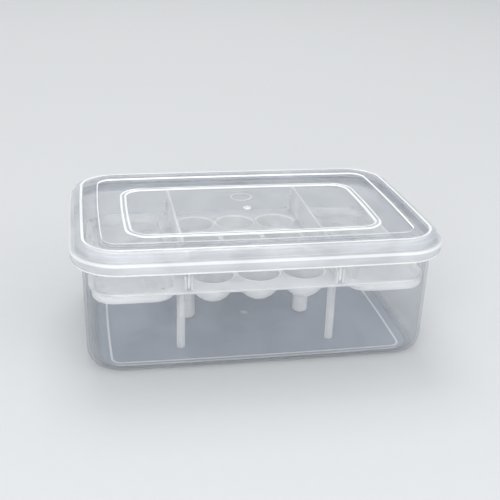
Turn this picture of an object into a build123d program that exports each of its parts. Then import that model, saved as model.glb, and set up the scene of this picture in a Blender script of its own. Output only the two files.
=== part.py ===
"""Reptile breeding box: a clear plastic box with a snap lid, and inside it a raised
incubation tray with egg cups, two side basins, two upright dividers and support legs.

The frame is the box's own: +X along the long side, -Y towards the front, +Z up, and the
origin at the centre of the footprint on the surface that the box stands on. Millimetres.
"""
import os

from build123d import *

# Overall size, over the lid's skirt and up to its rim.
length = 200.0
depth = 138.0
height = 71.0
side_bow = 1.1
flange_corner = 26.0

# Lid.
lid_wall = 1.4
skirt_wall = 1.2
skirt_depth = 6.8
skirt_straight = 3.4
skirt_taper = 1.2
rim_rise = 5.1
rim_inset = 3.1
rim_slope_rise = 1.6
rim_slope_width = 3.6
rim_band = 9.7
panel_drop = 3.0
panel_corner = 8.0
bead_inset = 29.3
bead_width = 2.5
bead_height = 1.0
bead_corner = 11.0
lid_gate_radius = 2.3
lid_gate_height = 1.2
lid_mark_y = 20.0
lid_mark_radius = 6.5
lid_mark_width = 0.9
lid_mark_height = 0.4
ledge_round = 1.8
crest_round = 1.2

# Container.
wall = 1.5
floor_top = 2.0
foot_recess = 0.8
wall_inset = 5.9
wall_draft = 1.0
base_round = 8.6
foot_inset_x = 19.2
foot_inset_y = 17.2
foot_corner = 5.0
lip_thickness = 1.6
lip_hem = 2.0
lip_hem_wall = 1.2
floor_gate_radius = 2.2
floor_gate_height = 0.4

# Clearances between pieces that come apart.
lid_clearance = 0.3
lip_clearance = 0.4
seat_clearance = 0.3
tray_clearance = 1.3
divider_clearance = 0.3

# Tray.
deck_drop = 18.6
deck_thickness = 1.2
deck_corner = 17.0
cup_columns = 3
cup_gap_x = 0.2
cup_gap_y = 0.7
cup_side_strip = 8.0
cup_end_strip = 8.5
cup_radius = 11.4
cup_wall = 1.0
cup_straight = 2.6
cup_ring_radius = 7.0
cup_ring_wire = 0.5
basin_outer_gap = 0.5
basin_drop = 5.1
basin_corner = 12.0
basin_edge_round = 2.4
rib_pitch = 3.8
rib_side_gap = 5.5
rib_width = 1.2
rib_height = 0.8
rib_end_gap = 11.0
drain_radius = 0.8
drain_inner_gap = 6.5
drain_outer_inset = 19.5
drain_end_inset = 26.5
post_gap = 11.3
post_radius = 4.5
post_foot_round = 1.0
post_seam = 0.05
leg_gap = 3.5
leg_end_inset = 31.5
leg_radius = 2.25
leg_foot_round = 0.6
socket_wall = 1.15
socket_depth = 4.0

# Dividers.
divider_gap = 5.5
divider_thickness = 1.5
divider_end_inset = 11.0
divider_headroom = 5.1
divider_corner = 3.0
divider_edge_round = 0.4
guide_end_inset = 12.5
guide_length = 4.0
guide_wall = 1.2
guide_height = 8.0

os.makedirs("parts", exist_ok=True)


def bowed_panel(half_x, half_y, corner, level):
    """Rounded rectangle whose four sides swell outward a little, drawn at a level."""
    inner_x = half_x - side_bow
    inner_y = half_y - side_bow
    with BuildSketch(Plane.XY.offset(level)) as panel:
        with BuildLine():
            ThreePointArc((-inner_x, -inner_y), (0, -half_y), (inner_x, -inner_y))
            ThreePointArc((inner_x, -inner_y), (half_x, 0), (inner_x, inner_y))
            ThreePointArc((inner_x, inner_y), (0, half_y), (-inner_x, inner_y))
            ThreePointArc((-inner_x, inner_y), (-half_x, 0), (-inner_x, -inner_y))
        make_face()
        fillet(panel.vertices(), corner)
    return panel.sketch


def outline(inset, level, corner=None):
    """Outline of the box set in from the lid's skirt, at a level."""
    if corner is None:
        corner = flange_corner - inset
    return bowed_panel(length / 2 - inset, depth / 2 - inset, corner, level)


# Container: a drafted tub with a rounded base, an outward lip and a raised foot ring.
ledge_top = height - rim_rise
container_top = ledge_top - lid_wall - lid_clearance
inner_inset = wall_inset + wall
lip_inset = skirt_wall + skirt_taper + lip_clearance
lip_bottom = container_top - lip_thickness

with BuildPart() as cavity:
    loft(
        sections=[
            outline(inner_inset + wall_draft, floor_top),
            outline(inner_inset, container_top),
        ],
        ruled=True,
    )
    fillet(cavity.edges().group_by(Axis.Z)[0], base_round - wall)

with BuildPart() as container:
    loft(
        sections=[
            outline(wall_inset + wall_draft, 0),
            outline(wall_inset, container_top),
        ],
        ruled=True,
    )
    fillet(container.edges().group_by(Axis.Z)[0], base_round)
    # Outward lip under the lid's ledge, with a short turned-down hem.
    extrude(outline(lip_inset, lip_bottom), amount=lip_thickness)
    extrude(outline(lip_inset, lip_bottom - lip_hem), amount=lip_hem)
    with BuildSketch(Plane.XY.offset(lip_bottom - lip_hem)) as hem_hollow:
        add(outline(lip_inset + lip_hem_wall, lip_bottom - lip_hem))
        add(outline(wall_inset, lip_bottom - lip_hem), mode=Mode.SUBTRACT)
    extrude(amount=lip_hem, mode=Mode.SUBTRACT)
    add(cavity.part, mode=Mode.SUBTRACT)
    # Shallow recess under the floor that leaves a foot ring.
    extrude(
        bowed_panel(length / 2 - foot_inset_x, depth / 2 - foot_inset_y, foot_corner, 0),
        amount=foot_recess,
        mode=Mode.SUBTRACT,
    )
    # Moulding gate in the middle of the floor.
    with BuildSketch(Plane.XY.offset(floor_top)):
        Circle(floor_gate_radius)
    extrude(amount=floor_gate_height)
container.part.label = "container"
export_step(container.part, "parts/container.step")

# Lid: a skirt that draws in towards its hem, a flat ledge, a raised rim band with a sloped
# shoulder, and a sunken panel with a bead.
skirt_bottom = ledge_top - skirt_depth
skirt_bend = ledge_top - skirt_straight
shoulder = height - rim_slope_rise
crest_inset = rim_inset + rim_slope_width
panel_top = height - panel_drop
band_inset = crest_inset + rim_band

with BuildPart() as lid:
    loft(
        sections=[outline(skirt_taper, skirt_bottom), outline(0, skirt_bend)],
        ruled=True,
    )
    extrude(outline(0, skirt_bend), amount=skirt_straight)
    fillet(lid.edges().group_by(Axis.Z)[-1], ledge_round)
    extrude(outline(rim_inset, ledge_top), amount=shoulder - ledge_top)
    loft(
        sections=[outline(rim_inset, shoulder), outline(crest_inset, height)],
        ruled=True,
    )
    extrude(
        outline(band_inset, panel_top, panel_corner),
        amount=panel_drop,
        mode=Mode.SUBTRACT,
    )
    fillet(lid.edges().group_by(Axis.Z)[-1], crest_round)
    # Inside of the skirt, and the hollow under the raised rim band.
    loft(
        sections=[
            outline(skirt_taper + skirt_wall, skirt_bottom),
            outline(skirt_wall, skirt_bend),
        ],
        ruled=True,
        mode=Mode.SUBTRACT,
    )
    extrude(
        outline(skirt_wall, skirt_bend),
        amount=skirt_straight - lid_wall,
        mode=Mode.SUBTRACT,
    )
    extrude(
        outline(rim_inset + lid_wall, ledge_top - lid_wall),
        amount=shoulder - ledge_top,
        mode=Mode.SUBTRACT,
    )
    loft(
        sections=[
            outline(rim_inset + lid_wall, shoulder - lid_wall),
            outline(crest_inset + lid_wall, height - lid_wall),
        ],
        ruled=True,
        mode=Mode.SUBTRACT,
    )
    extrude(
        outline(band_inset - lid_wall, panel_top - lid_wall, panel_corner + lid_wall),
        amount=panel_drop,
    )
    extrude(
        outline(band_inset, panel_top, panel_corner),
        amount=panel_drop,
        mode=Mode.SUBTRACT,
    )
    # Raised bead round the middle of the panel.
    with BuildSketch(Plane.XY.offset(panel_top)):
        add(outline(bead_inset, panel_top, bead_corner))
        add(
            outline(bead_inset + bead_width, panel_top, bead_corner - bead_width),
            mode=Mode.SUBTRACT,
        )
    extrude(amount=bead_height)
    # Moulding gate and a plain moulded ring behind it.
    with BuildSketch(Plane.XY.offset(panel_top)):
        Circle(lid_gate_radius)
    extrude(amount=lid_gate_height)
    with BuildSketch(Plane.XY.offset(panel_top)):
        with Locations((0, lid_mark_y)):
            Circle(lid_mark_radius)
            Circle(lid_mark_radius - lid_mark_width, mode=Mode.SUBTRACT)
    extrude(amount=lid_mark_height)
lid.part.label = "lid"
export_step(lid.part, "parts/lid.step")

# Tray: one milky moulding, made here as its deck, two basins, twelve cups and two posts,
# which meet face to face. The deck's middle strip carries the cups in its window, the
# guides for the dividers and the sockets for the legs.
deck_top = container_top - deck_drop
deck_bottom = deck_top - deck_thickness
deck_draft = wall_draft * (container_top - deck_bottom) / container_top
deck_inset = inner_inset + deck_draft + tray_clearance
deck_half_x = length / 2 - deck_inset
deck_half_y = depth / 2 - deck_inset
cup_outer = cup_radius + cup_wall
cup_pitch_x = 2 * cup_outer + cup_gap_x
cup_pitch_y = 2 * cup_outer + cup_gap_y
cup_rows = int(2 * (deck_half_y - cup_end_strip) / cup_pitch_y)
window_x = cup_pitch_x * cup_columns
window_y = cup_pitch_y * cup_rows
basin_inner_x = window_x / 2 + cup_side_strip
cup_centre_z = deck_top - cup_straight
cup_ring_z = cup_centre_z - (cup_radius**2 - cup_ring_radius**2) ** 0.5
foot_z = floor_top + seat_clearance
leg_x = basin_inner_x - leg_gap
leg_y = depth / 2 - leg_end_inset
divider_x = basin_inner_x - divider_gap
guide_gap = divider_thickness / 2 + divider_clearance
guide_y = depth / 2 - guide_end_inset

with BuildPart() as deck:
    with BuildSketch(Plane.XY.offset(deck_bottom)):
        add(bowed_panel(deck_half_x, deck_half_y, deck_corner, deck_bottom))
        Rectangle(2 * basin_inner_x, depth, mode=Mode.INTERSECT)
        Rectangle(window_x, window_y, mode=Mode.SUBTRACT)
    extrude(amount=deck_thickness)
    # Sockets for the legs.
    with BuildSketch(Plane.XY.offset(deck_bottom - socket_depth)):
        with GridLocations(2 * leg_x, 2 * leg_y, 2, 2):
            Circle(leg_radius + socket_wall)
            Circle(leg_radius, mode=Mode.SUBTRACT)
    extrude(amount=socket_depth)
    # Upright guides that hold the ends of the dividers.
    with BuildSketch(Plane.XY.offset(deck_top)):
        for side in (-1, 1):
            for face in (-1, 1):
                guide_x = side * divider_x + face * (guide_gap + guide_wall / 2)
                with Locations((guide_x, -guide_y), (guide_x, guide_y)):
                    Rectangle(guide_wall, guide_length)
    extrude(amount=guide_height)
deck.part.label = "deck"
export_step(deck.part, "parts/deck.step")

# Basins: shallow trays with a flange, ribs along their undersides and four drain holes.
basin_bottom = deck_bottom - basin_drop
basin_half_y = deck_half_y - basin_outer_gap - side_bow
basin_outer_x = deck_half_x - basin_outer_gap - side_bow
basin_width = basin_outer_x - basin_inner_x
basin_middle = (basin_outer_x + basin_inner_x) / 2
rib_count = int((basin_width - 2 * rib_side_gap) / rib_pitch) + 1
drain_x_inner = basin_inner_x + drain_inner_gap
drain_x_outer = length / 2 - drain_outer_inset
drain_y = depth / 2 - drain_end_inset
for basin_name, side in (("basin_left", -1), ("basin_right", 1)):
    basin_x = side * basin_middle
    with BuildPart() as basin:
        with BuildSketch(Plane.XY.offset(basin_bottom)):
            with Locations((basin_x, 0)):
                RectangleRounded(basin_width, 2 * basin_half_y, basin_corner)
        extrude(amount=basin_drop)
        fillet(basin.edges().group_by(Axis.Z)[0], basin_edge_round)
        with BuildSketch(Plane.XY.offset(deck_bottom)):
            add(bowed_panel(deck_half_x, deck_half_y, deck_corner, deck_bottom))
            with Locations((side * (basin_inner_x + length / 2), 0)):
                Rectangle(length, depth, mode=Mode.INTERSECT)
        extrude(amount=deck_thickness)
        with BuildSketch(Plane.XY.offset(basin_bottom + deck_thickness)):
            with Locations((basin_x, 0)):
                RectangleRounded(
                    basin_width - 2 * deck_thickness,
                    2 * (basin_half_y - deck_thickness),
                    basin_corner - deck_thickness,
                )
        extrude(amount=basin_drop, mode=Mode.SUBTRACT)
        with BuildSketch(Plane.XY.offset(basin_bottom - rib_height)):
            with Locations((basin_x, 0)):
                with GridLocations(rib_pitch, 1, rib_count, 1):
                    Rectangle(rib_width, 2 * (basin_half_y - rib_end_gap))
        extrude(amount=rib_height)
        with BuildSketch(Plane.XY.offset(basin_bottom - rib_height)):
            for drain_x in (drain_x_inner, drain_x_outer):
                with Locations((side * drain_x, -drain_y), (side * drain_x, drain_y)):
                    Circle(drain_radius)
        extrude(amount=rib_height + deck_thickness, mode=Mode.SUBTRACT)
    basin.part.label = basin_name
    export_step(basin.part, "parts/" + basin_name + ".step")

# Egg cups: round-bottomed bowls, each in its own square of the deck, with a thin
# ring low down inside that keeps an egg off the bottom. Rows count from the front.
cup_centres = {}
for row in range(cup_rows):
    for column in range(cup_columns):
        cup_x = (column - (cup_columns - 1) / 2) * cup_pitch_x
        cup_y = (row - (cup_rows - 1) / 2) * cup_pitch_y
        cup_name = "egg_cup_" + str(row + 1) + "_" + str(column + 1)
        cup_centres[cup_name] = (cup_x, cup_y, cup_centre_z)

for cup_name, centre in cup_centres.items():
    with BuildPart() as cup:
        with BuildSketch(Plane.XY.offset(deck_bottom)):
            with Locations(centre[:2]):
                Rectangle(cup_pitch_x, cup_pitch_y)
        extrude(amount=deck_thickness)
        with BuildSketch(Plane.XY.offset(cup_centre_z)):
            with Locations(centre[:2]):
                Circle(cup_outer)
        extrude(amount=deck_bottom - cup_centre_z)
        with Locations(centre):
            Sphere(
                cup_outer,
                arc_size1=-90,
                arc_size2=0,
                align=(Align.CENTER, Align.CENTER, Align.MAX),
            )
            Sphere(cup_radius, mode=Mode.SUBTRACT)
        with Locations((centre[0], centre[1], cup_ring_z)):
            Torus(cup_ring_radius, cup_ring_wire)
    cup.part.label = cup_name
    export_step(cup.part, "parts/" + cup_name + ".step")

# Posts: thick supports under the deck, hollowed where they pass the cups beside them.
post_x = basin_inner_x - post_gap
for post_name, side in (("post_left", -1), ("post_right", 1)):
    with BuildPart() as post:
        with BuildSketch(Plane.XY.offset(foot_z)):
            with Locations((side * post_x, 0)):
                Circle(post_radius)
        extrude(amount=deck_bottom - foot_z)
        fillet(post.edges().group_by(Axis.Z)[0], post_foot_round)
        with Locations(*cup_centres.values()):
            Sphere(cup_outer + post_seam, mode=Mode.SUBTRACT)
            Cylinder(
                cup_outer + post_seam,
                cup_straight,
                align=(Align.CENTER, Align.CENTER, Align.MIN),
                mode=Mode.SUBTRACT,
            )
    post.part.label = post_name
    export_step(post.part, "parts/" + post_name + ".step")

# Legs: four slim pins pressed up into the tray's sockets.
leg_places = {
    "leg_front_left": (-leg_x, -leg_y),
    "leg_front_right": (leg_x, -leg_y),
    "leg_rear_left": (-leg_x, leg_y),
    "leg_rear_right": (leg_x, leg_y),
}
for leg_name, place in leg_places.items():
    with BuildPart() as leg:
        with BuildSketch(Plane.XY.offset(foot_z)):
            with Locations(place):
                Circle(leg_radius)
        extrude(amount=deck_bottom - foot_z)
        fillet(leg.edges().group_by(Axis.Z)[0], leg_foot_round)
    leg.part.label = leg_name
    export_step(leg.part, "parts/" + leg_name + ".step")

# Dividers: thin upright plates that drop between the guides and stop at the deck.
divider_bottom = deck_top + divider_clearance
divider_top = panel_top - lid_wall - divider_headroom
divider_half_length = depth / 2 - divider_end_inset
for divider_name, side in (("divider_left", -1), ("divider_right", 1)):
    with BuildPart() as divider:
        with BuildSketch(Plane.YZ.offset(side * divider_x - divider_thickness / 2)) as plate:
            with Locations((0, (divider_top + divider_bottom) / 2)):
                Rectangle(2 * divider_half_length, divider_top - divider_bottom)
            fillet(plate.vertices().group_by(Axis.Z)[-1], divider_corner)
        extrude(amount=divider_thickness)
        fillet(divider.edges().filter_by(Axis.Y).group_by(Axis.Z)[-1], divider_edge_round)
    divider.part.label = divider_name
    export_step(divider.part, "parts/" + divider_name + ".step")
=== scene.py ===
import math

import bmesh
import bpy
from mathutils import Matrix, Vector


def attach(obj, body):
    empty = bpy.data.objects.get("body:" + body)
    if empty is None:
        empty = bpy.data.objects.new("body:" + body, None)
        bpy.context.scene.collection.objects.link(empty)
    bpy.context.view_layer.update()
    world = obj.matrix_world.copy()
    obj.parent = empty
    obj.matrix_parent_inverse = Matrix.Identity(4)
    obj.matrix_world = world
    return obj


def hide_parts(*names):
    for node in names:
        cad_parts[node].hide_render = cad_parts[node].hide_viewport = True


bl_info = {
    "name": "Reptile breeding box",
    "version": (1, 0, 0),
    "blender": (4, 5, 0),
    "location": "View3D > Sidebar > Breeding box",
    "description": "Finishes the clear breeding box, its lid and its egg tray",
    "category": "Object",
}

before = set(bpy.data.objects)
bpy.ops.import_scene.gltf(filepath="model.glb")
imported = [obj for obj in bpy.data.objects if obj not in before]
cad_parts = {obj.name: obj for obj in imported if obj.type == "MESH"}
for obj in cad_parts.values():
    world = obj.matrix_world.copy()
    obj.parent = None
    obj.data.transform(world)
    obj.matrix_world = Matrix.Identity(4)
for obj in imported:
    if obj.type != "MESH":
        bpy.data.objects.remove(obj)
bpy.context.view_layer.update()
LEGS = ("leg_front_left", "leg_front_right", "leg_rear_left", "leg_rear_right")
DIVIDERS = ("divider_left", "divider_right")
CUPS = tuple(f"egg_cup_{row}_{column}" for row in (1, 2, 3, 4) for column in (1, 2, 3))
MOULDING = ("deck", "basin_left", "basin_right", "post_left", "post_right", *CUPS)

# Sizes are written in millimetres and turned to metres where a piece is made.
MM = 0.001
SAME_PLACE = 0.01 * MM
SAME_LEVEL = 0.008

# How finely rounds are divided: an arc's step, and the steps along a long and a short side.
ARC_STEP = 15.0
LONG_STEPS = 14
SHORT_STEPS = 10
SMOOTH_BELOW = 35.0

# Outlines, each half its length, half its depth, the swell of its sides and its corner.
BOX_OUTLINE = (100.0, 69.0, 1.1, 26.0)
FOOT_OUTLINE = (80.8, 51.8, 1.1, 5.0)
STEP_OUTLINE = (83.6, 52.6, 1.1, 8.0)
BEAD_OUTLINE = (71.4, 40.4, 1.1, 13.0)
DECK_OUTLINE = (90.99, 59.99, 1.1, 17.0)
BASIN_OUTLINE = (21.945, 58.39, 0.2, 12.0)
BASIN_X = 67.445

# Levels, from the top down.
CREST = 71.0
PANEL_TOP = 68.0
PANEL_UNDER = 66.6
DECK_TOP = 45.6
DECK_UNDER = 44.4
BASIN_TOP = 40.5
BASIN_UNDER = 39.3
FLOOR_TOP = 2.0
FLOOR_UNDER = 0.8

# The lid's ring mark, and the tray's cups, drain holes, ribs, guides, sockets and posts.
MARK_Y = 20.0
CUP_PITCH = (25.0, 25.5)
CUP_CENTRE = 43.0
CUP_INNER = 11.4
CUP_OUTER = 12.4
CUP_RING = 7.0
CUP_RING_ROUND = 0.6
DRAINS = ((52.0, -42.5), (52.0, 42.5), (80.5, -42.5), (80.5, 42.5))
DRAIN_RADIUS = 0.8
RIB_PITCH = 3.8
GUIDE = (40.0, 56.5)
GUIDE_FACE = 1.65
SOCKET = (42.0, 37.5)
POST_X = 34.2

# The camera, in metres, with the directions of its right, its top and its back.
CAMERA_PLACE = (-0.088538, -0.458702, 0.236268)
CAMERA_RIGHT = (0.98279713, -0.1821552, 0.03048422)
CAMERA_UP = (0.04214107, 0.38187625, 0.92325222)
CAMERA_BACK = (-0.17981639, -0.906085, 0.38298309)
CAMERA_LENS = 62.616


def rest():
    """Leaves edit mode with nothing selected."""
    if bpy.context.mode != "OBJECT":
        bpy.ops.object.mode_set(mode="OBJECT")
    bpy.ops.object.select_all(action="DESELECT")


def take(*pieces):
    """Selects some pieces alone and makes the first the active one."""
    rest()
    for piece in pieces:
        piece.select_set(True)
    bpy.context.view_layer.objects.active = pieces[0]


def settle(piece, name):
    """Puts a piece's place into its mesh and names it."""
    take(piece)
    bpy.ops.object.transform_apply(location=True, rotation=True, scale=True)
    piece.name = name
    piece.data.name = name
    return piece


def edit(piece, kind="VERT"):
    """Enters edit mode on one piece with all of it selected."""
    take(piece)
    bpy.ops.object.mode_set(mode="EDIT")
    bpy.ops.mesh.select_mode(type=kind)
    bpy.ops.mesh.select_all(action="SELECT")


def join(pieces, name):
    """Makes one piece of several."""
    take(*pieces)
    bpy.ops.object.join()
    pieces[0].name = name
    pieces[0].data.name = name
    return pieces[0]


def copies_at(piece, places):
    """Replaces a piece by a copy at each shift, in millimetres."""
    copies = []
    for place in places:
        take(piece)
        bpy.ops.object.duplicate(linked=False)
        copy = bpy.context.active_object
        bpy.ops.transform.translate(value=Vector(place) * MM)
        copies.append(settle(copy, piece.name + "_copy"))
    bpy.data.objects.remove(piece)
    return copies


def pick_rims(piece, test):
    """Selects the open rims whose points, in millimetres, all pass a test."""
    edit(piece, "EDGE")
    bpy.ops.mesh.select_all(action="DESELECT")
    mesh = bmesh.from_edit_mesh(piece.data)
    found = 0
    for line in mesh.edges:
        if len(line.link_faces) == 1 and all(test(*(v.co / MM)) for v in line.verts):
            line.select_set(True)
            found += 1
    bmesh.update_edit_mesh(piece.data)
    if not found:
        raise RuntimeError(f"{piece.name} has no such open rim")


def cap(piece, test):
    """Closes one open rim with a flat face."""
    pick_rims(piece, test)
    bpy.ops.mesh.edge_face_add()


def web(piece, test):
    """Closes the flat ground between several open rims."""
    pick_rims(piece, test)
    bpy.ops.mesh.fill(use_beauty=True)


def close_up(piece):
    """Merges a piece's seams, turns its faces outward and smooths all but its edges."""
    edit(piece)
    bpy.ops.mesh.remove_doubles(threshold=SAME_PLACE)
    bpy.ops.mesh.select_all(action="SELECT")
    bpy.ops.mesh.normals_make_consistent(inside=False)
    take(piece)
    bpy.ops.object.shade_smooth_by_angle(angle=math.radians(SMOOTH_BELOW))
    open_edges = sum(1 for count in edge_uses(piece) if count != 2)
    if open_edges:
        raise RuntimeError(f"{piece.name} has {open_edges} edges that aren't closed")
    return piece


def edge_uses(piece):
    """How many faces meet at each edge."""
    mesh = bmesh.new()
    mesh.from_mesh(piece.data)
    uses = [len(line.link_faces) for line in mesh.edges]
    mesh.free()
    return uses


class Pen:
    """Draws a section in the plane x = 0, as y and z in millimetres."""

    def __init__(self, name, y, z):
        rest()
        bpy.ops.mesh.primitive_plane_add(size=MM, location=(0, y * MM, z * MM))
        self.piece = settle(bpy.context.active_object, name)
        self.at = Vector((y, z))
        edit(self.piece)
        bpy.ops.mesh.merge(type="CENTER")

    def line(self, y, z):
        """Draws a straight line to a point."""
        step = Vector((y, z)) - self.at
        if step.length * MM < SAME_PLACE:
            return
        bpy.ops.mesh.extrude_region_move(
            TRANSFORM_OT_translate={"value": (0, step.x * MM, step.y * MM)}
        )
        self.at = Vector((y, z))

    def arc(self, centre, degrees):
        """Turns about a centre, counted from y towards z."""
        turn = math.radians(degrees)
        steps = max(2, round(abs(degrees) / ARC_STEP))
        bpy.ops.mesh.spin(
            steps=steps,
            angle=-turn,
            center=(0, centre[0] * MM, centre[1] * MM),
            axis=(1, 0, 0),
        )
        hub = Vector(centre)
        self.at = hub + Matrix.Rotation(turn, 2) @ (self.at - hub)

    def path(self, *points):
        """Lines through points of y, z and a radius that rounds the corner there."""
        for index, (y, z, *radius) in enumerate(points):
            if not radius or index == len(points) - 1:
                self.line(y, z)
                continue
            corner = Vector((y, z))
            back = (self.at - corner).normalized()
            ahead = (Vector(points[index + 1][:2]) - corner).normalized()
            half = back.angle(ahead) / 2
            start = corner + back * (radius[0] / math.tan(half))
            hub = corner + (back + ahead).normalized() * (radius[0] / math.sin(half))
            turn = math.pi - 2 * half
            side = back.x * ahead.y - back.y * ahead.x
            self.line(*start)
            self.arc(hub, math.degrees(turn) * (1 if side < 0 else -1))

    def shut(self):
        """Joins the section's two ends, which lie on the same place."""
        bpy.ops.mesh.select_all(action="SELECT")
        bpy.ops.mesh.remove_doubles(threshold=SAME_PLACE)

    def turn_round(self, steps):
        """Turns the section once round the z axis."""
        bpy.ops.mesh.select_all(action="SELECT")
        bpy.ops.mesh.spin(steps=steps, angle=math.tau, center=(0, 0, 0), axis=(0, 0, 1))
        self.done()
        edit(self.piece)
        bpy.ops.mesh.delete_loose(use_verts=True, use_edges=True, use_faces=False)
        rest()
        return self.piece

    def run_round(self, outline, corner_steps=12):
        """Carries the section, drawn inward from the front's middle, round an outline."""
        half_x, half_y, swell, corner = outline
        long_radius = ((half_x - swell) ** 2 + swell**2) / (2 * swell)
        short_radius = ((half_y - swell) ** 2 + swell**2) / (2 * swell)
        # The corner's centre lies where it touches the long and the short side's arcs.
        front = Vector((0, long_radius - half_y))
        right = Vector((half_x - short_radius, 0))
        hub = corner_hub(front, long_radius - corner, right, short_radius - corner)
        long_half = math.atan2(hub.x, front.y - hub.y)
        short_half = math.atan2(-hub.y, hub.x - right.x)
        quarter = math.pi / 2 - long_half - short_half
        turns = (
            (front, long_half, LONG_STEPS // 2),
            (hub, quarter, corner_steps),
            (right, 2 * short_half, SHORT_STEPS),
            (Vector((hub.x, -hub.y)), quarter, corner_steps),
            (-front, 2 * long_half, LONG_STEPS),
            (-hub, quarter, corner_steps),
            (-right, 2 * short_half, SHORT_STEPS),
            (Vector((-hub.x, hub.y)), quarter, corner_steps),
            (front, long_half, LONG_STEPS // 2),
        )
        bpy.ops.mesh.select_all(action="SELECT")
        bpy.ops.transform.translate(value=(0, -half_y * MM, 0))
        for centre, angle, steps in turns:
            bpy.ops.mesh.spin(
                steps=steps,
                angle=-angle,
                center=(centre.x * MM, centre.y * MM, 0),
                axis=(0, 0, 1),
            )
        return self.done()

    def done(self):
        """Merges the drawing's doubled points and gives the piece back."""
        bpy.ops.mesh.select_all(action="SELECT")
        bpy.ops.mesh.remove_doubles(threshold=SAME_PLACE)
        rest()
        return self.piece


def corner_hub(front, front_reach, right, right_reach):
    """The point at set distances from two centres, at the front right."""
    between = right - front
    gap = between.length
    along = (front_reach**2 - right_reach**2 + gap**2) / (2 * gap)
    across = math.sqrt(front_reach**2 - along**2)
    middle = front + between * (along / gap)
    side = Vector((between.y, -between.x)).normalized() * across
    return max((middle + side, middle - side), key=lambda point: point.x - point.y)


def section(name, *points):
    """A pen that has drawn a path of points, the first its start."""
    pen = Pen(name, *points[0][:2])
    pen.path(*points[1:])
    return pen


def level(height):
    """A test for points at a height."""
    return lambda x, y, z: abs(z - height) < SAME_LEVEL


def container_shell():
    """Container: foot recess, rounded base, drafted wall, outward lip and gate mark."""
    shell = section(
        "container_shell",
        (16.0, 0.0),
        (6.9, 0.0, 8.6),
        (5.93, 62.6, 0.4),
        (4.0, 62.6, 0.3),
        (4.0, 60.6, 0.3),
        (2.8, 60.6, 0.3),
        (2.8, 64.2, 0.5),
        (7.4, 64.2, 0.5),
        (8.37, FLOOR_TOP, 7.1),
        (20.0, FLOOR_TOP),
    ).run_round(BOX_OUTLINE)
    foot = section(
        "foot_recess",
        (-0.5, 0.0),
        (0.0, 0.0, 0.3),
        (0.2, FLOOR_UNDER, 0.3),
        (1.2, FLOOR_UNDER),
    ).run_round(FOOT_OUTLINE, corner_steps=8)
    gate = section(
        "floor_gate",
        (2.9, FLOOR_TOP),
        (2.4, FLOOR_TOP, 0.2),
        (2.2, FLOOR_TOP + 0.4, 0.2),
        (1.0, FLOOR_TOP + 0.4, 0.1),
        (0.8, FLOOR_TOP + 0.25),
        (0.0, FLOOR_TOP + 0.25),
    ).turn_round(24)
    shell = join([shell, foot, gate], "container_shell")
    cap(shell, level(FLOOR_UNDER))
    web(shell, level(0.0))
    web(shell, level(FLOOR_TOP))
    return close_up(shell)


def lid_shell():
    """Lid: skirt with a beaded hem, ledge, raised rim, sunken panel, its bead and marks."""
    # The ground inside the bead, and inside the mark's ring, lies a hair lower each time.
    inside = PANEL_TOP - 0.02
    middle = PANEL_TOP - 0.04
    shell = section(
        "lid_shell",
        (19.0, PANEL_UNDER),
        (15.0, PANEL_UNDER, 0.7),
        (15.0, 69.6, 0.8),
        (8.1, 69.6, 1.6),
        (4.5, 68.0, 0.8),
        (4.5, 64.5, 0.7),
        (1.3, 64.5, 0.7),
        (1.3, 62.4, 0.9),
        (2.3, 59.1, 0.3),
        (1.1, 59.1, 0.5),
        (1.0, 60.2, 0.3),
        (0.6, 60.6, 0.3),
        (0.0, 62.5, 1.2),
        (0.0, 65.9, 1.7),
        (3.1, 65.9, 0.7),
        (3.2, 69.3, 1.3),
        (6.6, CREST, 0.5),
        (7.6, CREST, 0.3),
        (7.9, 70.7, 0.3),
        (15.4, 70.7, 0.3),
        (15.6, CREST, 0.2),
    ).run_round(BOX_OUTLINE)
    step = section(
        "lid_step",
        (-0.5, CREST),
        (0.0, CREST, 0.4),
        (0.15, PANEL_TOP, 0.7),
        (2.5, PANEL_TOP),
    ).run_round(STEP_OUTLINE, corner_steps=9)
    bead = section(
        "lid_bead",
        (-0.5, PANEL_TOP),
        (0.0, PANEL_TOP, 0.3),
        (0.4, PANEL_TOP + 1.0, 0.4),
        (1.4, PANEL_TOP + 1.0, 0.3),
        (1.7, PANEL_TOP + 0.7, 0.2),
        (2.6, PANEL_TOP + 0.7, 0.2),
        (2.9, PANEL_TOP + 1.0, 0.3),
        (3.9, PANEL_TOP + 1.0, 0.4),
        (4.3, inside, 0.3),
        (4.8, inside),
    ).run_round(BEAD_OUTLINE)
    gate = section(
        "lid_gate",
        (2.9, inside),
        (2.4, inside, 0.2),
        (2.2, inside + 1.2, 0.35),
        (1.1, inside + 1.2, 0.2),
        (0.8, inside + 0.8),
        (0.0, inside + 0.8),
    ).turn_round(24)
    mark = section(
        "lid_mark",
        (6.9, inside),
        (6.5, inside, 0.15),
        (6.4, inside + 0.4, 0.15),
        (5.7, inside + 0.4, 0.15),
        (5.6, middle, 0.15),
        (5.2, middle),
    ).turn_round(36)
    mark.location.y = MARK_Y * MM
    settle(mark, "lid_mark")
    shell = join([shell, step, bead, gate, mark], "lid_shell")
    cap(shell, level(PANEL_UNDER))
    web(shell, level(CREST))
    cap(shell, level(middle))
    web(shell, level(inside))
    web(shell, level(PANEL_TOP))
    return close_up(shell)


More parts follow.
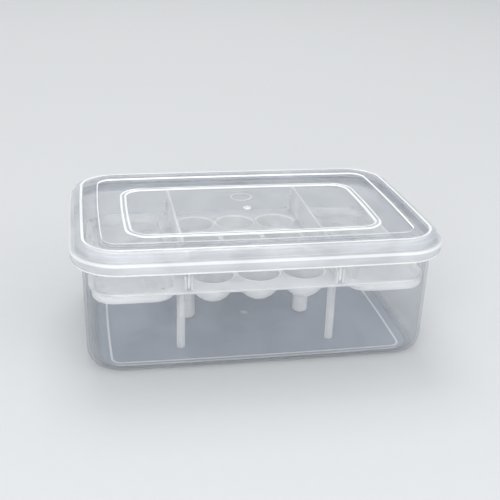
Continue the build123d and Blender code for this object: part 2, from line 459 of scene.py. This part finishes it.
def egg_cup():
    """One open egg cup: a lip, a short straight wall and a round bowl with a low ring."""
    pen = section(
        "egg_cup",
        (CUP_INNER + 0.8, DECK_TOP),
        (CUP_INNER, DECK_TOP, 0.5),
        (CUP_INNER, CUP_CENTRE),
    )
    bowl = (0.0, CUP_CENTRE)
    ring = (CUP_RING, CUP_CENTRE - math.sqrt(CUP_INNER**2 - CUP_RING**2))
    half = math.degrees(CUP_RING_ROUND / CUP_INNER)
    rise = math.degrees(math.acos(CUP_RING / CUP_INNER))
    pen.arc(bowl, half - rise)
    pen.arc(ring, 180.0)
    pen.arc(bowl, rise + half - 90.0)
    pen.line(0.0, CUP_CENTRE - CUP_OUTER)
    pen.arc(bowl, 90.0)
    pen.line(CUP_OUTER, DECK_UNDER)
    return pen.turn_round(40)


def tray_basin(side):
    """One side basin: a rounded tub with four drain holes, open to the deck's faces."""
    inner = section(
        "basin",
        (0.6, DECK_TOP),
        (1.2, DECK_TOP, 0.5),
        (1.7, BASIN_TOP, 1.8),
        (6.0, BASIN_TOP),
    ).run_round(BASIN_OUTLINE, corner_steps=9)
    outer = section(
        "basin_under",
        (6.0, BASIN_UNDER),
        (0.5, BASIN_UNDER, 2.4),
        (0.0, DECK_UNDER),
    ).run_round(BASIN_OUTLINE, corner_steps=9)
    basin = join([inner, outer], "basin")
    basin.location.x = side * BASIN_X * MM
    settle(basin, "basin")
    holes = []
    for x, y in DRAINS:
        rest()
        bpy.ops.mesh.primitive_cylinder_add(
            vertices=14,
            radius=DRAIN_RADIUS * MM,
            depth=(BASIN_TOP - BASIN_UNDER) * MM,
            end_fill_type="NOTHING",
            location=(side * x * MM, y * MM, (BASIN_TOP + BASIN_UNDER) / 2 * MM),
        )
        holes.append(settle(bpy.context.active_object, "drain"))
    basin = join([basin, *holes], "basin")
    web(basin, level(BASIN_TOP))
    web(basin, level(BASIN_UNDER))
    rest()
    return basin


def bar(name, low, high, round_by, below=False):
    """An upright block between two corners, rounded at its free end."""
    rest()
    low = Vector(low)
    high = Vector(high)
    bpy.ops.mesh.primitive_cube_add(size=1.0, location=(low + high) / 2 * MM)
    piece = bpy.context.active_object
    piece.scale = (high - low) * MM
    settle(piece, name)
    edit(piece, "EDGE")
    bpy.ops.mesh.select_all(action="DESELECT")
    mesh = bmesh.from_edit_mesh(piece.data)
    free = low.z if below else high.z
    for line in mesh.edges:
        ends = [v.co.z / MM for v in line.verts]
        if max(abs(end - free) for end in ends) < 0.001 or abs(ends[0] - ends[1]) > 0.1:
            line.select_set(True)
    bmesh.update_edit_mesh(piece.data)
    bpy.ops.mesh.bevel(offset=round_by * MM, segments=3, affect="EDGES")
    rest()
    return piece


def tray_moulding():
    """The whole milky tray: deck, cups, basins, ribs, guides, sockets and posts."""
    deck = section(
        "deck",
        (0.8, DECK_TOP),
        (0.0, DECK_TOP, 0.5),
        (0.0, DECK_UNDER, 0.3),
        (0.8, DECK_UNDER),
    ).run_round(DECK_OUTLINE)
    cups = copies_at(
        egg_cup(),
        [
            ((column - 1) * CUP_PITCH[0], (row - 1.5) * CUP_PITCH[1], 0)
            for row in range(4)
            for column in range(3)
        ],
    )
    basins = [tray_basin(-1), tray_basin(1)]
    tray = join([deck, *cups, *basins], "tray_moulding")
    web(tray, level(DECK_TOP))
    web(tray, level(DECK_UNDER))

    ribs = copies_at(
        bar("rib", (-0.55, -47.4, 38.5), (0.55, 47.4, 39.4), 0.3, below=True),
        [
            (side * BASIN_X + RIB_PITCH * step, 0, 0)
            for side in (-1, 1)
            for step in range(-4, 5)
        ],
    )
    guides = copies_at(
        bar("guide", (-0.6, -2.0, 45.5), (0.6, 2.0, 53.6), 0.35),
        [
            (side * GUIDE[0] + face * GUIDE_FACE, end * GUIDE[1], 0)
            for side in (-1, 1)
            for face in (-1, 1)
            for end in (-1, 1)
        ],
    )
    socket = section(
        "socket",
        (2.3, 44.5),
        (2.3, 40.4, 0.25),
        (3.3, 40.4, 0.3),
        (3.45, 43.6, 0.4),
        (4.0, 44.5),
        (2.3, 44.5),
    )
    socket.shut()
    sockets = copies_at(
        socket.turn_round(28),
        [(x * SOCKET[0], y * SOCKET[1], 0) for x in (-1, 1) for y in (-1, 1)],
    )
    post = section(
        "post",
        (0.0, 44.5),
        (4.2, 44.5),
        (4.5, 2.3, 1.0),
        (0.0, 2.3),
    ).turn_round(36)
    posts = copies_at(post, [(-POST_X, 0, 0), (POST_X, 0, 0)])
    tray = join([tray, *ribs, *guides, *sockets, *posts], "tray_moulding")
    return close_up(tray)


# Shader maths.


class Wire:
    """A shader socket that can be used in plain sums."""

    def __init__(self, finish, socket):
        self.finish = finish
        self.socket = socket

    def __add__(self, other):
        return self.finish.sum("ADD", self, other)

    __radd__ = __add__

    def __sub__(self, other):
        return self.finish.sum("SUBTRACT", self, other)

    def __rsub__(self, other):
        return self.finish.sum("SUBTRACT", other, self)

    def __mul__(self, other):
        return self.finish.sum("MULTIPLY", self, other)

    __rmul__ = __mul__

    def __truediv__(self, other):
        return self.finish.sum("DIVIDE", self, other)

    def __pow__(self, other):
        return self.finish.sum("POWER", self, other)


class Finish:
    """A material and the nodes that make it."""

    def __init__(self, name):
        self.material = bpy.data.materials.new(name)
        self.material.use_nodes = True
        self.tree = self.material.node_tree
        self.tree.nodes.clear()
        self.out = self.tree.nodes.new("ShaderNodeOutputMaterial")
        self.place = self.node("ShaderNodeTexCoord", out="Object")
        self.x = self.node("ShaderNodeSeparateXYZ", inputs={0: self.place}, out=0)
        parts = self.x.socket.node.outputs
        self.y = Wire(self, parts[1])
        self.z = Wire(self, parts[2])

    def node(self, kind, settings=None, inputs=None, out=0):
        """Adds a node: its settings first, then its sockets' values or links."""
        made = self.tree.nodes.new(kind)
        for key, value in (settings or {}).items():
            setattr(made, key, value)
        for key, value in (inputs or {}).items():
            self.feed(made.inputs[key], value)
        return Wire(self, made.outputs[out])

    def feed(self, socket, value):
        """Links a wire to a socket, or sets the socket to a value."""
        if isinstance(value, Wire):
            self.tree.links.new(value.socket, socket)
        else:
            socket.default_value = value

    def sum(self, operation, a, b=0.0):
        """One step of arithmetic on two numbers."""
        return self.node("ShaderNodeMath", {"operation": operation}, {0: a, 1: b})

    def mix(self, share, a, b):
        """A colour between a and b."""
        return self.node(
            "ShaderNodeMix",
            {"data_type": "RGBA"},
            {0: share, 6: a, 7: b},
            out=2,
        )

    def spread(self, value, low, high, to_low=0.0, to_high=1.0, kind="LINEAR"):
        """A value's range spread over another range, and held at its ends."""
        return self.node(
            "ShaderNodeMapRange",
            {"clamp": True, "interpolation_type": kind},
            {0: value, 1: low, 2: high, 3: to_low, 4: to_high},
        )

    def band(self, value, low, high, soft):
        """1 between two values and 0 outside them, with soft ends."""
        rise = self.spread(value, low - soft, low + soft, kind="SMOOTHSTEP")
        fall = self.spread(value, high - soft, high + soft, kind="SMOOTHSTEP")
        return rise * (1 - fall)

    def above(self, value, edge, soft):
        """0 below an edge and 1 above it, with a soft step."""
        return self.spread(value, edge - soft, edge + soft, kind="SMOOTHSTEP")

    def reach(self, y):
        """How far a place lies from the middle's line at a y, in millimetres."""
        along = self.x * 1000.0
        across = self.y * 1000.0 - y
        return (along * along + across * across) ** 0.5

    def nearest(self, value, pitch):
        """How far a value lies from the nearest multiple of a pitch."""
        return value - self.sum("ROUND", value / pitch) * pitch

    def inset(self, outline):
        """How far a place lies inside an outline, in millimetres."""
        half_x, half_y, swell, corner = outline
        x = self.sum("ABSOLUTE", self.x) * 1000.0
        y = self.sum("ABSOLUTE", self.y) * 1000.0
        past_x = x - (half_x - corner) + (y / half_y) ** 2.0 * swell
        past_y = y - (half_y - corner) + (x / half_x) ** 2.0 * swell
        round_x = self.sum("MAXIMUM", past_x, 0.0)
        round_y = self.sum("MAXIMUM", past_y, 0.0)
        corner_reach = (round_x * round_x + round_y * round_y) ** 0.5
        flat_reach = self.sum("MINIMUM", self.sum("MAXIMUM", past_x, past_y), 0.0)
        return corner - corner_reach - flat_reach

    def mapped(self, scale, turn=(0, 0, 0)):
        """The place on the piece, turned and scaled for a pattern."""
        return self.node(
            "ShaderNodeMapping",
            {},
            {"Vector": self.place, "Rotation": turn, "Scale": scale},
        )

    def noise(self, scale, detail, roughness=0.5, where=None):
        """Soft random clouds, where a mapped place can stretch them."""
        return self.node(
            "ShaderNodeTexNoise",
            {},
            {
                "Vector": where or self.place,
                "Scale": scale,
                "Detail": detail,
                "Roughness": roughness,
            },
        )

    def facing(self):
        """0 where the surface faces the view and 1 at its outline."""
        return self.node("ShaderNodeLayerWeight", {}, {"Blend": 0.5}, out="Facing")

    def surface(self, **sockets):
        """Ends the material in a shader with these sockets, a space written as _."""
        made = self.node(
            "ShaderNodeBsdfPrincipled",
            {},
            {key.replace("_", " "): value for key, value in sockets.items()},
        )
        self.tree.links.new(made.socket, self.out.inputs["Surface"])
        return self.material


def flow_marks(finish):
    """Faint cloudiness with rings that spread from the moulding gate, and silky lines."""
    clouds = finish.noise(22.0, 2.0)
    silk = finish.noise(1.0, 1.0, where=finish.mapped(scale=(60, 60, 420)))
    reach = finish.reach(0.0) * 0.001
    rings = finish.sum("SINE", (reach + clouds * 0.05) * (math.tau / 0.024))
    return clouds * 0.6 + silk * 0.25 + (rings * 0.5 + 0.5) * 0.15, silk


def scuffs(finish):
    """Short fine scratches, 1 on a scratch and 0 off it."""
    scratch = finish.noise(
        1.0, 1.0, 0.7, finish.mapped(scale=(160, 1400, 900), turn=(0, 0, 0.4))
    )
    return finish.spread(scratch, 0.66, 0.78)


def cloudy_plastic(
    finish,
    pale,
    deep,
    thin,
    thick,
    rough,
    turn=2.5,
    white=None,
    wet=None,
    glow=0.0,
    grain=1.0,
):
    """Cloudy see-through polypropylene, thin where it faces the view and thick at its
    outline, which turn makes narrower. white is where it turns white, partly for thick or
    frosted plastic and partly as highlights painted where its edges catch the light, wet is
    where it is dense and polished, glow is the light that spreads in its wall, and grain is
    how strong its scratches and silky lines are."""
    marks, silk = flow_marks(finish)
    scratch = scuffs(finish)
    edge = finish.facing() ** turn
    share = finish.spread(marks, 0.3, 0.7)
    cover = finish.spread(marks, 0.25, 0.75, thin * 0.85, thin * 1.15)
    alpha = cover + edge * (thick - thin) + scratch * (0.03 * grain)
    colour = finish.mix(share, (*deep, 1), (*pale, 1))
    gloss = finish.spread(marks + scratch * 0.3, 0.3, 0.9, rough * 0.8, rough * 1.4)
    if wet is not None:
        alpha = alpha + wet * (0.62 - alpha)
        colour = finish.mix(wet, colour, (*[(a + b) * 0.85 for a, b in zip(pale, deep)], 1))
        gloss = gloss * (1 - wet * 0.75)
    # The white mask is partly the plastic's own thick or frosted white and partly painted
    # highlights on its edges.
    if white is not None:
        alpha = alpha + white * (1 - alpha)
        colour = finish.mix(white, colour, (0.97, 0.97, 0.96, 1))
    bump = finish.node(
        "ShaderNodeBump",
        {},
        {"Strength": 0.12 * grain, "Distance": 0.0002, "Height": silk},
    )
    return finish.surface(
        Base_Color=colour,
        Roughness=gloss,
        Alpha=alpha,
        Normal=bump,
        IOR=1.55,
        Specular_IOR_Level=0.7,
        Subsurface_Weight=glow,
        Subsurface_Radius=(1.0, 1.0, 1.0),
        Subsurface_Scale=0.004,
    )


def lid_whites_and_painted_highlights(finish):
    """Where the lid looks white: its frosted skirt and its moulded gate and ring mark, and
    its hem, ledge, crest, step lip and bead sides, where the plastic is thick or sharply
    bent and painted highlights stand for the light that these edges catch. Heights are in
    metres, and insets and reaches in millimetres."""
    inset = finish.inset(BOX_OUTLINE)
    step = finish.inset(STEP_OUTLINE)
    bead = finish.inset(BEAD_OUTLINE)
    high = finish.above(finish.z, 0.0688, 0.0005)
    raised = finish.above(finish.z, 0.0683, 0.0001)
    outside = 1 - finish.above(inset, 1.3, 0.3)
    # The ledge, hem, crest, step lip and the bead's sides are painted highlights on thick,
    # bent edges; frost is the skirt's own frosted white.
    ledge = finish.band(finish.z, 0.0645, 0.0657, 0.0003) * outside
    hem = finish.band(finish.z, 0.0585, 0.0601, 0.0002)
    frost = finish.band(finish.z, 0.0585, 0.0664, 0.0003) + (
        finish.above(finish.z, 0.0664, 0.0003) * (1 - finish.above(inset, 6.3, 0.4)) * 0.7
    )
    crest_highlight = finish.band(inset, 6.3, 7.8, 0.2) * high
    lip = finish.band(step, -0.5, 0.4, 0.15) * finish.above(finish.z, 0.0702, 0.0003)
    bead_side_highlights = finish.band(bead, -0.2, 4.5, 0.15) * raised
    bead_middle = finish.band(bead, 1.5, 2.8, 0.3)
    gate = 1 - finish.above(finish.reach(0.0), 2.4, 0.2)
    mark = finish.band(finish.reach(MARK_Y), 5.4, 6.7, 0.2)
    return finish.sum(
        "MINIMUM",
        frost * 0.41
        + hem * 0.42
        + ledge * 0.2
        + crest_highlight * 0.7
        + lip * 0.9
        + bead_side_highlights * (0.75 - bead_middle * 0.5)
        + (gate * 0.6 + mark * 0.5) * raised,
        1.0,
    )


def container_whites_and_painted_highlights(finish):
    """Where the container looks white: its lip, the foot recess's ring and the gate mark,
    where the plastic is thick or sharply bent and painted highlights stand for the light
    that these edges catch.
    """
    foot = finish.inset(FOOT_OUTLINE)
    low = 1 - finish.above(finish.z, 0.0023, 0.0002)
    lip = finish.band(finish.z, 0.0600, 0.0700, 0.0002)
    gate = (1 - finish.above(finish.reach(0.0), 2.3, 0.2)) * finish.above(
        finish.z, 0.00215, 0.0001
    )
    ring = finish.band(foot, -0.5, 0.7, 0.2) * low
    return lip * 0.35 + ring * 0.8 + gate * 0.7


def tray_painted_light(finish):
    """Painted light on the milky tray: painted highlights on the cups' rings and rims, and
    painted brightening of the cups' shaded upper walls.
    """
    across = finish.nearest(finish.x * 1000.0, CUP_PITCH[0])
    along = finish.nearest(finish.y * 1000.0 + CUP_PITCH[1] / 2, CUP_PITCH[1])
    reach = (across * across + along * along) ** 0.5
    side = finish.sum("ABSOLUTE", finish.x) * 1000.0
    end = finish.sum("ABSOLUTE", finish.y) * 1000.0
    cups = (1 - finish.above(side, 38.0, 0.2)) * (1 - finish.above(end, 51.0, 0.2))
    # ring and rim are painted highlights; wall is painted light on cup walls that lie in
    # shade.
    ring = finish.band(reach, CUP_RING - 0.8, CUP_RING + 0.8, 0.15) * finish.band(
        finish.z, 0.0332, 0.0352, 0.0003
    )
    rim = finish.band(reach, 11.0, 12.2, 0.2) * finish.above(finish.z, 0.0448, 0.0004)
    wall = finish.band(reach, 9.0, 12.2, 0.4) * finish.above(finish.z, 0.0385, 0.002)
    return cups * finish.sum("MINIMUM", ring * 0.9 + rim * 0.5 + wall * 0.5, 1.0)


def dress(piece, material):
    """Gives a piece or a node of the frame its finish."""
    for slot in piece.material_slots:
        slot.material = material
    if not piece.material_slots:
        piece.data.materials.append(material)


def carry(piece, body, slot, *nodes):
    """Ties a new piece to its body and hides the nodes that it stands for. slot is not
    used.
    """
    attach(piece, body)
    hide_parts(*nodes)


# Settings.


def tint(name, description, default):
    """A colour that a user can change."""
    return bpy.props.FloatVectorProperty(
        name=name, description=description, subtype="COLOR", default=default
    )


class BoxSettings(bpy.types.PropertyGroup):
    container_pale: tint(
        "Container, pale", "Where the container is cloudiest", (0.37, 0.40, 0.45)
    )
    container_deep: tint(
        "Container, deep", "Where the container is clearest", (0.20, 0.23, 0.27)
    )
    lid_pale: tint("Lid, pale", "Where the lid is cloudiest", (0.42, 0.46, 0.51))
    lid_deep: tint("Lid, deep", "Where the lid is clearest", (0.20, 0.24, 0.29))
    tray_pale: tint("Tray, pale", "Where the milky tray is thick", (0.95, 0.95, 0.94))
    tray_deep: tint("Tray, deep", "Where the milky tray is thin", (0.86, 0.87, 0.87))


class StageSettings(bpy.types.PropertyGroup):
    floor_size: bpy.props.FloatProperty(
        name="Floor size",
        description="Side of the pale floor",
        default=8.0,
        unit="LENGTH",
    )
    floor_colour: tint("Floor", "Colour of the pale floor", (0.54, 0.55, 0.56))


# Operators.


class BOX_OT_container(bpy.types.Operator):
    """Makes and finishes the clear container"""

    bl_idname = "box.container"
    bl_label = "Container"

    def execute(self, context):
        look = context.scene.box_settings
        finish = Finish("container_clear_plastic")
        cloudy_plastic(
            finish,
            look.container_pale,
            look.container_deep,
            thin=0.14,
            thick=0.6,
            rough=0.16,
            turn=4.0,
            white=container_whites_and_painted_highlights(finish),
            wet=finish.band(finish.z, 0.0017, 0.0022, 0.0002),
        )
        shell = container_shell()
        dress(shell, finish.material)
        carry(shell, "box", "container_plastic", "container")
        return {"FINISHED"}


class BOX_OT_lid(bpy.types.Operator):
    """Makes and finishes the clear lid"""

    bl_idname = "box.lid"
    bl_label = "Lid"

    def execute(self, context):
        look = context.scene.box_settings
        finish = Finish("lid_clear_plastic")
        cloudy_plastic(
            finish,
            look.lid_pale,
            look.lid_deep,
            thin=0.13,
            thick=0.7,
            rough=0.14,
            turn=6.0,
            white=lid_whites_and_painted_highlights(finish),
            glow=0.8,
            grain=0.6,
        )
        shell = lid_shell()
        dress(shell, finish.material)
        carry(shell, "lid", "lid_plastic", "lid")
        return {"FINISHED"}


class BOX_OT_tray(bpy.types.Operator):
    """Makes and finishes the milky tray, and finishes its legs"""

    bl_idname = "box.tray"
    bl_label = "Tray and legs"

    def execute(self, context):
        look = context.scene.box_settings
        finish = Finish("tray_milky_plastic")
        cloudy_plastic(
            finish,
            look.tray_pale,
            look.tray_deep,
            thin=0.66,
            thick=0.95,
            rough=0.3,
            turn=2.0,
            white=tray_painted_light(finish),
            glow=0.8,
        )
        tray = tray_moulding()
        dress(tray, finish.material)
        carry(tray, "tray", "tray_plastic", *MOULDING)
        finish = Finish("leg_milky_plastic")
        cloudy_plastic(
            finish,
            look.tray_pale,
            look.tray_deep,
            thin=0.36,
            thick=0.85,
            rough=0.3,
            glow=0.8,
        )
        for node in LEGS:
            dress(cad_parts[node], finish.material)
        return {"FINISHED"}


class BOX_OT_dividers(bpy.types.Operator):
    """Finishes the two upright dividers"""

    bl_idname = "box.dividers"
    bl_label = "Dividers"

    def execute(self, context):
        look = context.scene.box_settings
        finish = Finish("divider_cloudy_plastic")
        cloudy_plastic(
            finish, look.tray_pale, look.tray_deep, thin=0.85, thick=0.98, rough=0.22
        )
        for node in DIVIDERS:
            dress(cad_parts[node], finish.material)
        return {"FINISHED"}


class BOX_OT_stage(bpy.types.Operator):
    """Adds the pale floor, the soft light and the camera"""

    bl_idname = "box.stage"
    bl_label = "Stage"

    def execute(self, context):
        settings = context.scene.stage_settings
        rest()
        bpy.ops.mesh.primitive_plane_add(size=settings.floor_size, location=(0, 0, 0))
        floor = context.active_object
        floor.name = "floor"
        finish = Finish("floor_pale_paper")
        fibre = finish.noise(140.0, 3.0, 0.6)
        tone = [c * 0.97 for c in settings.floor_colour]
        finish.surface(
            Base_Color=finish.mix(fibre, (*tone, 1), (*settings.floor_colour, 1)),
            Roughness=0.85,
        )
        dress(floor, finish.material)

        self.light("key_light", (-0.55, -1.25, 0.62), (0, 0, 0.03), 1.0, 16.0)
        self.light("fill_light", (1.0, -0.9, 0.5), (0, 0, 0.04), 1.0, 6.0)
        self.light("back_light", (0.0, 1.3, 2.2), (0, 0, 0.05), 1.2, 20.0)

        world = bpy.data.worlds.new("soft_room")
        world.use_nodes = True
        sky = world.node_tree.nodes["Background"]
        sky.inputs["Color"].default_value = (0.93, 0.94, 0.95, 1)
        sky.inputs["Strength"].default_value = 0.9
        context.scene.world = world

        data = bpy.data.cameras.new("camera")
        camera = bpy.data.objects.new("camera", data)
        context.collection.objects.link(camera)
        data.sensor_fit = "HORIZONTAL"
        data.sensor_width = 36.0
        data.lens = CAMERA_LENS
        data.clip_start = 0.01
        data.clip_end = 50.0
        turn = Matrix((CAMERA_RIGHT, CAMERA_UP, CAMERA_BACK)).transposed().to_4x4()
        camera.matrix_world = Matrix.Translation(CAMERA_PLACE) @ turn
        context.scene.camera = camera
        context.scene.cycles.transparent_max_bounces = 32
        context.scene.view_settings.view_transform = "Standard"
        return {"FINISHED"}

    def light(self, name, place, target, size, power):
        """Adds a square soft light that looks at a target."""
        data = bpy.data.lights.new(name, "AREA")
        data.shape = "SQUARE"
        data.size = size
        data.energy = power
        lamp = bpy.data.objects.new(name, data)
        bpy.context.collection.objects.link(lamp)
        aim = Vector(target) - Vector(place)
        turn = aim.to_track_quat("-Z", "Y").to_matrix().to_4x4()
        lamp.matrix_world = Matrix.Translation(place) @ turn


class BOX_PT_panel(bpy.types.Panel):
    """The box's operators, in order"""

    bl_label = "Breeding box"
    bl_idname = "BOX_PT_panel"
    bl_space_type = "VIEW_3D"
    bl_region_type = "UI"
    bl_category = "Breeding box"

    def draw(self, context):
        for group in (context.scene.box_settings, context.scene.stage_settings):
            for key in group.__annotations__:
                self.layout.prop(group, key)
        for operator in OPERATORS:
            self.layout.operator(operator.bl_idname)


OPERATORS = (BOX_OT_container, BOX_OT_lid, BOX_OT_tray, BOX_OT_dividers, BOX_OT_stage)
CLASSES = (BoxSettings, StageSettings, *OPERATORS, BOX_PT_panel)


def register():
    for entry in CLASSES:
        bpy.utils.register_class(entry)
    bpy.types.Scene.box_settings = bpy.props.PointerProperty(type=BoxSettings)
    bpy.types.Scene.stage_settings = bpy.props.PointerProperty(type=StageSettings)


def unregister():
    del bpy.types.Scene.stage_settings
    del bpy.types.Scene.box_settings
    for entry in reversed(CLASSES):
        bpy.utils.unregister_class(entry)


def main():
    register()
    bpy.ops.box.container()
    bpy.ops.box.lid()
    bpy.ops.box.tray()
    bpy.ops.box.dividers()
    bpy.ops.box.stage()


if __name__ == "__main__":
    main()
